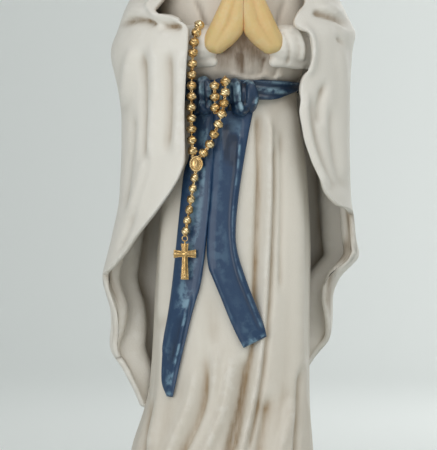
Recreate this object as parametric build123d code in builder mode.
"""A standing madonna statue with joined hands, a tied sash and a bead-chain rosary.

The figure faces -Y and stands on a rock base; +Z is up and the origin is on the resting face,
under the figure's axis. Right and left are the figure's own: its right arm is on the -X side.
The robed figure is an assembly of cast-resin pieces joined by tenons, sockets and glue; the
rosary is a chain of wire-eyed metal beads that hangs from the right wrist.
All sizes are in millimetres.
"""

import os
from math import cos, pi, sin

from build123d import *

os.makedirs("parts", exist_ok=True)

# ---------------------------------------------------------------- driving dimensions
FELT = 1.0  # thickness of the pad under the base
ROCK_TOP = 20.0  # where the gown and the feet stand
WAIST = 192.0  # joint between skirt and bodice
BODICE_TOP = 257.0  # foot of the neck
CROWN = 303.0  # top of the veil
WALL = 5.0  # cast wall of the hollow skirt
NECK_PEG = (5.0, 11.0)  # radius and length of the head's tenon in the bodice
GAP = 0.3  # glue gap round a tenon
SPIGOT = 8.0  # height of the rock's spigot inside the skirt
SPIGOT_INSET = WALL + 1.6  # the skirt narrows upwards, so the spigot is this far inside its outline
FOLD = 2.6  # exponent of the fuller-than-oval sections of the gown
CLOAK = 2.3  # and of the mantle
MIDDLE = 3.0  # X of the plane where the palms meet
BEYOND = 80.0  # further out than any part of the figure

# Sections are (z, centre x, centre y, half width, half depth).
SKIRT = [
    (ROCK_TOP, -4.0, -1.0, 38.0, 29.0),
    (60.0, -5.5, -2.0, 34.5, 27.0),
    (100.0, -1.7, -2.0, 29.5, 25.5),
    (140.0, 0.0, -2.0, 28.0, 24.0),
    (170.0, 0.0, -1.5, 25.5, 22.0),
    (WAIST, 0.5, 0.0, 22.5, 18.5),
]
BELT = (194.3, 201.6, 2.4)  # low edge, high edge and thickness of the sash round the waist
BODICE = [
    (203.0, 0.5, 0.0, 22.5, 18.5),
    (214.0, 1.0, -0.5, 25.0, 19.5),
    (235.0, 1.5, 0.0, 27.0, 18.0),
    (250.0, 1.5, 1.0, 22.0, 14.0),
    (BODICE_TOP, 1.5, 2.0, 12.0, 10.0),
]
MANTLE = [
    (46.0, -4.0, 6.0, 29.0, 25.5),
    (76.0, -6.0, 5.0, 36.0, 27.5),
    (107.0, -4.5, 3.0, 42.5, 31.0),
    (130.0, -2.0, 1.0, 49.0, 33.0),
    (155.0, 0.0, -0.5, 45.0, 33.5),
    (190.0, 0.0, -1.0, 44.0, 33.5),
    (215.0, -1.0, -1.0, 47.0, 33.0),
    (233.0, -0.5, 1.0, 41.5, 27.0),
    (250.0, 0.5, 3.0, 33.0, 20.0),
    (262.0, 1.5, 4.0, 22.0, 16.5),
    (274.0, 1.5, 3.0, 18.0, 18.0),
    (286.0, 1.5, 2.5, 18.5, 19.0),
    (297.0, 1.5, 3.0, 14.5, 15.0),
    (CROWN, 1.5, 3.5, 5.0, 6.0),
]
HEAD = [
    (BODICE_TOP, 1.5, 2.0, 9.0, 8.5),
    (265.0, 1.5, 0.5, 8.0, 8.0),
    (270.0, 1.5, -1.0, 10.0, 11.5),
    (279.0, 1.5, -1.0, 12.5, 14.5),
    (288.0, 1.5, -0.5, 13.0, 15.0),
    (296.0, 1.5, 1.0, 10.5, 12.0),
    (300.0, 1.5, 1.5, 5.0, 6.0),
]
# The mantle's front opening, seen from the front: x, z from the low left hem round to the right.
OPENING = [
    (-BEYOND, 60.0),
    (-BEYOND, 122.0),
    (-51.0, 128.0),
    (-37.0, 143.0),
    (-23.0, 160.0),
    (-19.5, 168.0),
    (-19.0, 220.0),
    (-22.0, 233.0),
    (-16.0, 248.0),
    (-11.5, 264.0),
    (-12.0, 281.0),
    (-8.5, 293.0),
    (1.5, 297.5),
    (11.5, 293.0),
    (15.0, 281.0),
    (14.5, 264.0),
    (19.0, 248.0),
    (25.5, 233.0),
    (27.5, 215.0),
    (23.5, 184.0),
    (28.0, 168.0),
    (37.0, 155.5),
    (50.0, 150.0),
    (BEYOND, 148.0),
    (BEYOND, 60.0),
]
OPENING_BACK = -2.0  # the opening is cut from the front as far as this Y

# Arms: elbow, wrist and the radii there. The left arm mirrors the right about the palms' plane.
ELBOW = (-31.0, -4.0, 213.0)
WRIST = (-10.0, -22.5, 213.5)
SLEEVE_RADII = (8.5, 7.0)
PIN = (1.0, 12.0)  # radius and length of the pin that holds a hand in its sleeve
# Hand: centre y, z, half thickness and half breadth of the sections up from the wrist.
HAND = [
    (-8.0, -23.5, 212.0, 5.0, 5.5),
    (-4.5, -25.5, 219.0, 4.6, 6.6),
    (-1.6, -27.0, 228.0, 4.2, 6.4),
    (-0.4, -28.0, 238.0, 3.4, 5.4),
    (0.6, -28.6, 248.0, 2.0, 3.2),
]

# Sash, seen from the front.
LONG_TAIL = [
    (-14.8, 189.0),
    (-20.0, 167.0),
    (-22.6, 138.0),
    (-25.0, 120.0),
    (-29.4, 97.0),
    (-28.4, 89.0),
    (-25.6, 82.5),
    (-23.6, 82.5),
    (-22.2, 89.0),
    (-17.6, 109.0),
    (-11.5, 134.0),
    (-8.5, 170.0),
    (-8.1, 189.0),
]
SHORT_TAIL = [
    (-7.9, 189.0),
    (-8.3, 170.0),
    (-11.2, 134.0),
    (-6.5, 119.0),
    (1.5, 102.0),
    (3.2, 101.0),
    (10.4, 103.4),
    (11.4, 107.0),
    (7.5, 116.5),
    (1.0, 133.0),
    (-0.7, 147.0),
    (1.2, 163.0),
    (3.4, 178.0),
    (5.8, 189.0),
]
TAIL_SWELL = (10.0, 2.4)  # the tails' outer face stands this far outside the skirt's section
RIGHT_LOOP = [(-15.5, 203.0), (-15.0, 190.0), (-12.0, 187.8), (-8.2, 189.0), (-8.2, 203.0)]
LEFT_LOOP = [(-2.8, 203.0), (-2.4, 189.0), (1.5, 187.2), (8.2, 190.5), (8.6, 199.0), (4.0, 203.0)]
LOOP_FRONT = -27.0
KNOT = (-8.2, -2.8, 190.0, 201.5)  # low x, high x, low z and high z of the knot
KNOT_FRONT = -26.0
SASH_DEPTH = 18.0  # bow pieces are cut back to what they lie on over this depth

# Feet: centre x, heading in degrees and size of each, and the rose on it.
FEET = {"right": (-15.0, -8.0), "left": (6.0, 10.0)}
FOOT_SIZE = (11.0, 30.0, 9.0)  # breadth, length, height
FOOT_CENTRE_Y = -22.0
ROSE = (4.2, 3.4)  # radius and height
ROSE_PLACE = (-33.0, 27.6)  # y and z of a rose's underside

# Rosary: beads with a wire eye at each end.
BEAD = 1.4  # radius
EYE = 0.46  # eye's mean radius
WIRE = 0.15  # wire's radius
EYE_REACH = BEAD + EYE - 0.1  # bead centre to eye centre
EYE_LINK = 2 * (EYE - WIRE) - 0.12  # between the centres of two linked eyes
PITCH = 2 * EYE_REACH + EYE_LINK
# Routes of the chain: the loop over the wrist, and the end of its second turn.
FRONT_STRAND = [
    (-15.9, -27.3, 172.6),
    (-16.4, -28.4, 185.0),
    (-16.3, -29.2, 200.0),
    (-15.6, -29.9, 213.0),
    (-14.2, -27.6, 220.4),
    (-11.6, -21.8, 223.4),
]
BACK_STRAND = [
    (-13.2, -27.2, 172.4),
    (-10.4, -27.8, 175.2),
    (-8.3, -28.4, 180.0),
    (-5.8, -29.0, 185.8),
    (-4.4, -29.4, 191.0),
    (-3.8, -29.2, 197.0),
    (-3.9, -28.4, 203.4),
]
TUCKED_STRAND = [(-7.6, -28.6, 188.6), (-7.7, -28.9, 196.0), (-7.8, -28.9, 204.6)]
MEDAL = (-14.6, -27.0, 169.8)  # centre of the junction medal
MEDAL_SIZE = (2.3, 2.6, 0.9)  # half width, half height, thickness
DROP_BEADS = 6
DROP_TOP = (-14.9, -27.0, 166.5)  # where the first drop link hangs from the medal
DROP_FOOT = (-18.9, -28.8, 142.2)  # towards which the drop leans
MEDAL_EYES = (FRONT_STRAND[0], BACK_STRAND[0])  # link joints over the medal
RING = (1.0, 0.2)  # mean radius and wire radius of the crucifix's jump ring
RING_DROP = 0.8  # from the last link joint down to the ring's centre
BAIL = (0.6, 0.25)  # the same radii of the eye on the crucifix
BAIL_DROP = 1.89  # and how far its centre is below the last link joint
CRUCIFIX = (4.3, 13.6, 1.0)  # half width, height and thickness
CRUCIFIX_BAR = (1.0, 1.7)  # half widths of its bars at the crossing and at their ends
CROSSING = 4.2  # from the crucifix's top down to the middle of its arms

# ---------------------------------------------------------------- helpers
def rounded(section, exponent, grow_x=0.0, grow_y=0.0):
    """The points of a superellipse section, to be joined by a periodic spline."""
    _, cx, cy, a, b = section
    points = []
    for step in range(16):
        turn = 2 * pi * step / 16
        c, s = cos(turn), sin(turn)
        x = cx + (a + grow_x) * (1 if c > 0 else -1) * abs(c) ** (2 / exponent)
        y = cy + (b + grow_y) * (1 if s > 0 else -1) * abs(s) ** (2 / exponent)
        points.append((x, y))
    return points


def oval(section, exponent, grow_x=0.0, grow_y=0.0, height=None):
    """A section as a sketch to loft or extrude, at its own height or at another."""
    with BuildSketch(Plane.XY.offset(section[0] if height is None else height)) as outline:
        with BuildLine():
            Spline(*rounded(section, exponent, grow_x, grow_y), periodic=True)
        make_face()
    return outline.sketch


def ovals(sections, exponent, grow_x=0.0, grow_y=0.0):
    """The sketches of a whole list of sections, for one loft."""
    return [oval(section, exponent, grow_x, grow_y) for section in sections]


def front_view(points, y):
    """A closed outline, given as x and z seen from the front, as a sketch at one Y."""
    with BuildSketch(Plane.XZ.offset(-y)) as outline:
        with BuildLine():
            Polyline(*points, close=True)
        make_face()
    return outline.sketch


def save(piece, label):
    piece.label = label
    export_step(piece, f"parts/{label}.step")


# ---------------------------------------------------------------- base
ROCK_STEPS = 14
ROCK_EDGE = [1.0, 0.95, 1.02, 0.96, 1.0, 0.93, 1.0, 0.97, 1.02, 0.95, 1.0, 0.94, 0.99, 0.96]
ROCK_RINGS = [(FELT, 52.0, 45.0), (9.0, 53.0, 46.0), (15.0, 50.5, 44.0), (ROCK_TOP, 47.0, 41.5)]

with BuildPart() as felt_pad:
    with BuildSketch():
        Ellipse(46.0, 38.0)
    extrude(amount=FELT)
save(felt_pad.part, "felt_pad")

with BuildPart() as base_rock:
    for ring, (height, half_x, half_y) in enumerate(ROCK_RINGS):
        with BuildSketch(Plane.XY.offset(height)):
            with BuildLine():
                corners = []
                for step in range(ROCK_STEPS):
                    angle = 2 * pi * step / ROCK_STEPS
                    edge = ROCK_EDGE[(step + 3 * ring) % ROCK_STEPS]
                    corners.append((half_x * edge * cos(angle), half_y * edge * sin(angle)))
                Polyline(*corners, close=True)
            make_face()
    loft(ruled=True)
    # the spigot that the hollow skirt is glued over
    extrude(oval(SKIRT[0], FOLD, -SPIGOT_INSET, -SPIGOT_INSET), amount=SPIGOT)
save(base_rock.part, "base_rock")

# ---------------------------------------------------------------- gown
with BuildPart() as skirt_form:
    loft(ovals(SKIRT, FOLD))

with BuildPart() as skirt_core:
    loft(ovals(SKIRT[:-1], FOLD, -WALL, -WALL))

TENON_BASE = WAIST - 9.0
with BuildPart() as gown_skirt:
    add(skirt_form)
    add(skirt_core, mode=Mode.SUBTRACT)
    with BuildSketch(Plane.XY.offset(TENON_BASE)):
        Ellipse(12.0 + GAP, 9.0 + GAP)
    extrude(amount=BEYOND, mode=Mode.SUBTRACT)
save(gown_skirt.part, "gown_skirt")

with BuildPart() as gown_bodice:
    extrude(oval(SKIRT[-1], FOLD), amount=BODICE[0][0] - WAIST)
    loft(ovals(BODICE, FOLD))
    with BuildSketch(Plane.XY.offset(TENON_BASE + GAP)):
        Ellipse(12.0, 9.0)
    extrude(amount=WAIST - TENON_BASE)
    with Locations((1.5, 2.0, BODICE_TOP)):
        Hole(NECK_PEG[0] + GAP, depth=NECK_PEG[1] + GAP)
save(gown_bodice.part, "gown_bodice")

# ---------------------------------------------------------------- head
with BuildPart() as head:
    loft(ovals(HEAD, 2.0))
    with BuildSketch(Plane.XY.offset(BODICE_TOP - NECK_PEG[1])):
        with Locations((1.5, 2.0)):
            Circle(NECK_PEG[0])
    extrude(amount=NECK_PEG[1] + 1.0)
save(head.part, "head")

# ---------------------------------------------------------------- arms and hands
elbow, wrist = Vector(*ELBOW), Vector(*WRIST)
forearm = Plane(origin=elbow, z_dir=(wrist - elbow).normalized())
reach = (wrist - elbow).length

with BuildPart() as arm_form:
    with BuildSketch(forearm):
        Circle(SLEEVE_RADII[0])
    with BuildSketch(forearm.offset(reach)):
        Circle(SLEEVE_RADII[1])
    loft()
    with Locations(elbow):
        Sphere(SLEEVE_RADII[0])

with BuildPart() as right_hand:
    for x, y, z, thick, broad in HAND:
        with BuildSketch(Plane(origin=(x, y, z), x_dir=(1, 0, 0), z_dir=(0, -0.12, 1))):
            Ellipse(thick, broad)
    loft()
    # the palm is flat where it meets the other hand, and its heel rests on the chest
    with Locations((MIDDLE + BEYOND / 2, HAND[2][1], HAND[2][2])):
        Box(BEYOND, BEYOND, BEYOND, mode=Mode.SUBTRACT)
    add(arm_form, mode=Mode.SUBTRACT)
    add(gown_bodice, mode=Mode.SUBTRACT)
    # the socket of the pin
    with BuildSketch(forearm.offset(reach)):
        Circle(PIN[0])
    extrude(amount=PIN[1] / 2, mode=Mode.SUBTRACT)

with BuildPart() as right_pin:
    with BuildSketch(forearm.offset(reach - PIN[1] / 2)):
        Circle(PIN[0])
    extrude(amount=PIN[1])

with BuildPart() as sleeve_form:
    add(arm_form)
    add(right_pin, mode=Mode.SUBTRACT)

palms = Plane.YZ.offset(MIDDLE)
with BuildPart() as right_sleeve:
    add(sleeve_form)
    add(gown_bodice, mode=Mode.SUBTRACT)
with BuildPart() as left_sleeve:
    mirror(sleeve_form.part, about=palms)
    add(gown_bodice, mode=Mode.SUBTRACT)
with BuildPart() as left_hand:
    mirror(right_hand.part, about=palms)
with BuildPart() as hand_pins:
    add(right_pin)
    mirror(right_pin.part, about=palms)
for piece, label in (
    (right_sleeve, "right_sleeve"),
    (left_sleeve, "left_sleeve"),
    (right_hand, "right_hand"),
    (left_hand, "left_hand"),
    (hand_pins, "hand_pins"),
):
    save(piece.part, label)

# ---------------------------------------------------------------- sash
with BuildPart() as waist_form:
    extrude(oval(SKIRT[-1], FOLD), amount=BODICE[0][0] - WAIST)

with BuildPart() as sash_belt:
    extrude(oval(SKIRT[-1], FOLD, BELT[2], BELT[2], BELT[0]), amount=BELT[1] - BELT[0])
    add(waist_form, mode=Mode.SUBTRACT)
save(sash_belt.part, "sash_belt")

with BuildPart() as tail_form:
    loft(ovals(SKIRT, FOLD, *TAIL_SWELL))

tails = []
for outline, label in ((LONG_TAIL, "sash_long_tail"), (SHORT_TAIL, "sash_short_tail")):
    with BuildPart() as tail:
        extrude(front_view(outline, 0.0), amount=BEYOND)
        add(tail_form, mode=Mode.INTERSECT)
        add(skirt_form, mode=Mode.SUBTRACT)
    tails.append(tail)
    save(tail.part, label)

BOW = (
    (RIGHT_LOOP, LOOP_FRONT, "sash_right_loop"),
    (LEFT_LOOP, LOOP_FRONT, "sash_left_loop"),
    ([(KNOT[0], KNOT[2]), (KNOT[0], KNOT[3]), (KNOT[1], KNOT[3]), (KNOT[1], KNOT[2])], KNOT_FRONT, "sash_knot"),
)
for outline, front, label in BOW:
    with BuildPart() as bow_piece:
        extrude(front_view(outline, front + SASH_DEPTH), amount=SASH_DEPTH)
        for backing in (waist_form, sash_belt, skirt_form, gown_bodice, *tails):
            add(backing, mode=Mode.SUBTRACT)
    save(bow_piece.part, label)

# ---------------------------------------------------------------- mantle, cast solid onto the figure
with BuildPart() as mantle_opening:
    extrude(front_view(OPENING, OPENING_BACK), amount=BEYOND)

with BuildPart() as mantle:
    loft(ovals(MANTLE, CLOAK), ruled=True)
    dressed = (skirt_form, gown_bodice, head, right_sleeve, left_sleeve, sash_belt, *tails)
    for cut in (mantle_opening, *dressed):
        add(cut, mode=Mode.SUBTRACT)
# what the neck's socket cuts loose inside is not cast
save(mantle.part.solids().sort_by(SortBy.VOLUME)[-1], "mantle")

# ---------------------------------------------------------------- feet and roses
for side, (foot_x, heading) in FEET.items():
    breadth, length, height = FOOT_SIZE
    with BuildPart() as foot:
        for rise, share in ((0.0, 1.0), (height * 0.5, 0.96), (height, 0.6)):
            with BuildSketch(Plane.XY.offset(ROCK_TOP + rise)):
                with Locations(Location((foot_x, FOOT_CENTRE_Y), heading)):
                    Ellipse(breadth / 2 * share, length / 2 * share)
        loft()
        add(skirt_form, mode=Mode.SUBTRACT)
    save(foot.part, f"{side}_foot")

    rose_y, rose_z = ROSE_PLACE
    with BuildPart() as rose:
        with BuildSketch(Plane.XY.offset(rose_z)):
            with Locations((foot_x, rose_y)):
                Circle(ROSE[0] * 0.6)
        with BuildSketch(Plane.XY.offset(rose_z + ROSE[1])):
            with Locations((foot_x, rose_y)):
                Circle(ROSE[0])
        loft()
        add(foot, mode=Mode.SUBTRACT)
        add(skirt_form, mode=Mode.SUBTRACT)
    save(rose.part, f"{side}_rose")


# ---------------------------------------------------------------- rosary
def chain_joints(points):
    """The places where links meet along a route, one pitch apart in a straight line."""
    route = Edge.make_spline([Vector(*point) for point in points])
    joints = [route.position_at(0, PositionMode.LENGTH)]
    along = 0.0
    while along < route.length:
        along += 0.05
        place = route.position_at(along, PositionMode.LENGTH)
        if (place - joints[-1]).length >= PITCH:
            joints.append(place)
    return joints


def link(start, end, turned):
    """One bead with a wire eye at each end, reaching from one link joint to the next."""
    start, end = Vector(*start), Vector(*end)
    run = (end - start).normalized()
    middle = (start + end) * 0.5
    across = run.cross(Vector(0, 1, 0)).normalized()
    eye_normal = across if turned else across.cross(run)
    with BuildPart() as bead:
        with Locations(Plane(origin=middle, x_dir=eye_normal.cross(run), z_dir=eye_normal)):
            Sphere(BEAD)
        for way in (-EYE_REACH, EYE_REACH):
            with Locations(Plane(origin=middle + run * way, x_dir=run, z_dir=eye_normal)):
                Torus(EYE, WIRE)
    return bead.part


def strand(points, turned=False):
    """The links of a whole route, every second one turned a quarter."""
    joints = chain_joints(points)
    return [
        link(start, end, turned ^ bool(number % 2))
        for number, (start, end) in enumerate(zip(joints, joints[1:]))
    ]


for route, label in (
    (FRONT_STRAND, "rosary_front_strand"),
    (BACK_STRAND, "rosary_back_strand"),
    (TUCKED_STRAND, "rosary_tucked_strand"),
):
    save(Compound(children=strand(route)), label)

with BuildPart() as rosary_medal:
    with BuildSketch(Plane.XZ.offset(-MEDAL[1] - MEDAL_SIZE[2] / 2)):
        with Locations((MEDAL[0], MEDAL[2])):
            Ellipse(MEDAL_SIZE[0], MEDAL_SIZE[1])
    extrude(amount=MEDAL_SIZE[2])
    eye_places = [Vector(*place) - Vector(0, 0, EYE_LINK / 2) for place in MEDAL_EYES]
    eye_places.append(Vector(*DROP_TOP) + Vector(0, 0, EYE_LINK / 2))
    for place in eye_places:
        with Locations(Plane(origin=place, x_dir=(0, 0, 1), z_dir=(1, 0, 0))):
            Torus(EYE, WIRE)
save(rosary_medal.part, "rosary_medal")

drop_start = Vector(*DROP_TOP)
drop_run = (Vector(*DROP_FOOT) - drop_start).normalized()
drop_joints = [drop_start + drop_run * (PITCH * number) for number in range(DROP_BEADS + 1)]
for number in range(DROP_BEADS):
    drop_link = link(drop_joints[number], drop_joints[number + 1], bool(number % 2))
    save(drop_link, f"rosary_drop_{number + 1}")
    pivot = drop_joints[number]
    print(f"rosary_drop_{number + 1} pivot: {pivot.X:.3f} {pivot.Y:.3f} {pivot.Z:.3f}")

last_joint = drop_joints[-1]
print(f"rosary_crucifix pivot: {last_joint.X:.3f} {last_joint.Y:.3f} {last_joint.Z:.3f}")
with BuildPart() as rosary_ring:
    with Locations(Plane(origin=last_joint - Vector(0, 0, RING_DROP), z_dir=(0, 1, 0))):
        Torus(*RING)
save(rosary_ring.part, "rosary_ring")

bail_centre = last_joint - Vector(0, 0, BAIL_DROP)
top = bail_centre.Z - BAIL[0]
crossing = top - CROSSING
half_width, height, thickness = CRUCIFIX
narrow, broad = CRUCIFIX_BAR
quarter = [  # one quarter of the cross, from the end of an arm to the end of an upright
    (half_width, crossing + broad),
    (narrow, crossing + narrow),
    (broad, top),
]
lower = [
    (broad, top - height),
    (narrow, crossing - narrow),
    (half_width, crossing - broad),
]
right_side = quarter[::-1] + lower[::-1]
left_side = [(-x, z) for x, z in right_side[::-1]]
cross_outline = [(bail_centre.X + x, z) for x, z in right_side + left_side]
with BuildPart() as rosary_crucifix:
    extrude(front_view(cross_outline, bail_centre.Y + thickness / 2), amount=thickness)
    with Locations(Plane(origin=bail_centre, x_dir=(0, 0, 1), z_dir=(1, 0, 0))):
        Torus(*BAIL)
save(rosary_crucifix.part, "rosary_crucifix")
